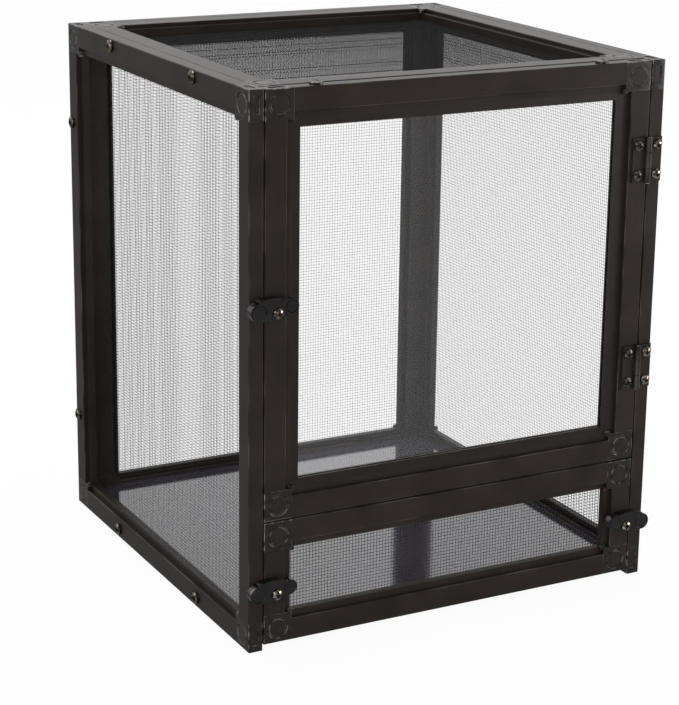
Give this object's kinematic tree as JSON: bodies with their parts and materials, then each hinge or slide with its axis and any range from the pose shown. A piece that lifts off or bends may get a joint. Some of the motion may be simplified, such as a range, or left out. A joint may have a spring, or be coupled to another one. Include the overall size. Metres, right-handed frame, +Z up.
{
  "type": "reptile terrarium",
  "caption": "Upright screen-sided reptile cage with a clear hinged front door, a lift-out screened lower door, banana-shaped turn latches and a solid floor sheet.",
  "frame": {"origin": "bottom centre of the bounding box, on the ground the cage stands on", "axes": "+Z up, -Y out of the doors, +X towards the hinge side"},
  "size_m": [0.2584, 0.2607, 0.3067],
  "materials": {
    "bronze_aluminium": "satin, dark bronze anodised",
    "key_plastic": "fine moulded",
    "latch_plastic": "moulded, slightly glossy",
    "woven_screen": "black coated woven wire",
    "floor_sheet": "smooth and glossy",
    "spline": "matt",
    "gasket": "satin vinyl",
    "clear_pane": "clear acrylic, polished",
    "black_steel": "black coated",
    "nickel_steel": "nickel plated"
  },
  "bodies": {
    "cabinet": {"left_side_front_stile": "bronze_aluminium", "left_side_back_stile": "bronze_aluminium", "left_side_top_rail": "bronze_aluminium", "left_side_bottom_rail": "bronze_aluminium", "left_side_corner_keys": "key_plastic", "left_side_screen": "woven_screen", "right_side_front_stile": "bronze_aluminium", "right_side_back_stile": "bronze_aluminium", "right_side_top_rail": "bronze_aluminium", "right_side_bottom_rail": "bronze_aluminium", "right_side_corner_keys": "key_plastic", "right_side_screen": "woven_screen", "back_panel_left_stile": "bronze_aluminium", "back_panel_right_stile": "bronze_aluminium", "back_panel_top_rail": "bronze_aluminium", "back_panel_bottom_rail": "bronze_aluminium", "back_panel_corner_keys": "key_plastic", "back_panel_screen": "woven_screen", "top_panel_left_rail": "bronze_aluminium", "top_panel_right_rail": "bronze_aluminium", "top_panel_front_rail": "bronze_aluminium", "top_panel_back_rail": "bronze_aluminium", "top_panel_corner_keys": "key_plastic", "top_panel_screen": "woven_screen", "floor_panel_left_rail": "bronze_aluminium", "floor_panel_right_rail": "bronze_aluminium", "floor_panel_front_rail": "bronze_aluminium", "floor_panel_back_rail": "bronze_aluminium", "floor_panel_corner_keys": "key_plastic", "floor_sheet": "floor_sheet", "screen_splines": "spline", "latch_pegs": "nickel_steel", "hinge_frame_leaves": "bronze_aluminium", "hinge_pins": "nickel_steel", "hinge_frame_screws": "nickel_steel", "panel_screws": "nickel_steel"},
    "main_door": {"main_door_latch_stile": "bronze_aluminium", "main_door_hinge_stile": "bronze_aluminium", "main_door_top_rail": "bronze_aluminium", "main_door_bottom_rail": "bronze_aluminium", "main_door_corner_keys": "key_plastic", "main_door_pane": "clear_pane", "main_door_gasket": "gasket", "main_door_latch_screw": "nickel_steel", "hinge_door_leaves": "bronze_aluminium", "hinge_door_screws": "black_steel", "main_door_top_screws": "nickel_steel"},
    "main_latch": {"main_door_latch": "latch_plastic"},
    "lower_door": {"lower_door_left_stile": "bronze_aluminium", "lower_door_right_stile": "bronze_aluminium", "lower_door_top_rail": "bronze_aluminium", "lower_door_bottom_rail": "bronze_aluminium", "lower_door_corner_keys": "key_plastic", "lower_door_screen": "woven_screen", "lower_door_splines": "spline", "lower_door_latch_screws": "nickel_steel"},
    "lower_left_latch": {"lower_door_left_latch": "latch_plastic"},
    "lower_right_latch": {"lower_door_right_latch": "latch_plastic"}
  },
  "joints": [
    {"name": "main_door_hinge", "type": "hinge", "parent": "cabinet", "child": "main_door", "pos_m": [0.1171, -0.12573, 0.18895], "axis": [0, 0, 1], "range_deg": [0, 150]},
    {"name": "main_latch_turn", "type": "hinge", "parent": "main_door", "child": "main_latch", "pos_m": [-0.1127, -0.12643, 0.18895], "axis": [0, 1, 0], "range_deg": [0, 90]},
    {"name": "lower_door_slide", "type": "slide", "parent": "cabinet", "child": "lower_door", "axis": [0, -1, 0], "range_m": [0, 0.12]},
    {"name": "lower_left_latch_turn", "type": "hinge", "parent": "lower_door", "child": "lower_left_latch", "pos_m": [-0.1127, -0.12643, 0.0334], "axis": [0, 1, 0], "range_deg": [0, 90]},
    {"name": "lower_right_latch_turn", "type": "hinge", "parent": "lower_door", "child": "lower_right_latch", "pos_m": [0.1127, -0.12643, 0.0334], "axis": [0, -1, 0], "range_deg": [0, 90]}
  ]
}
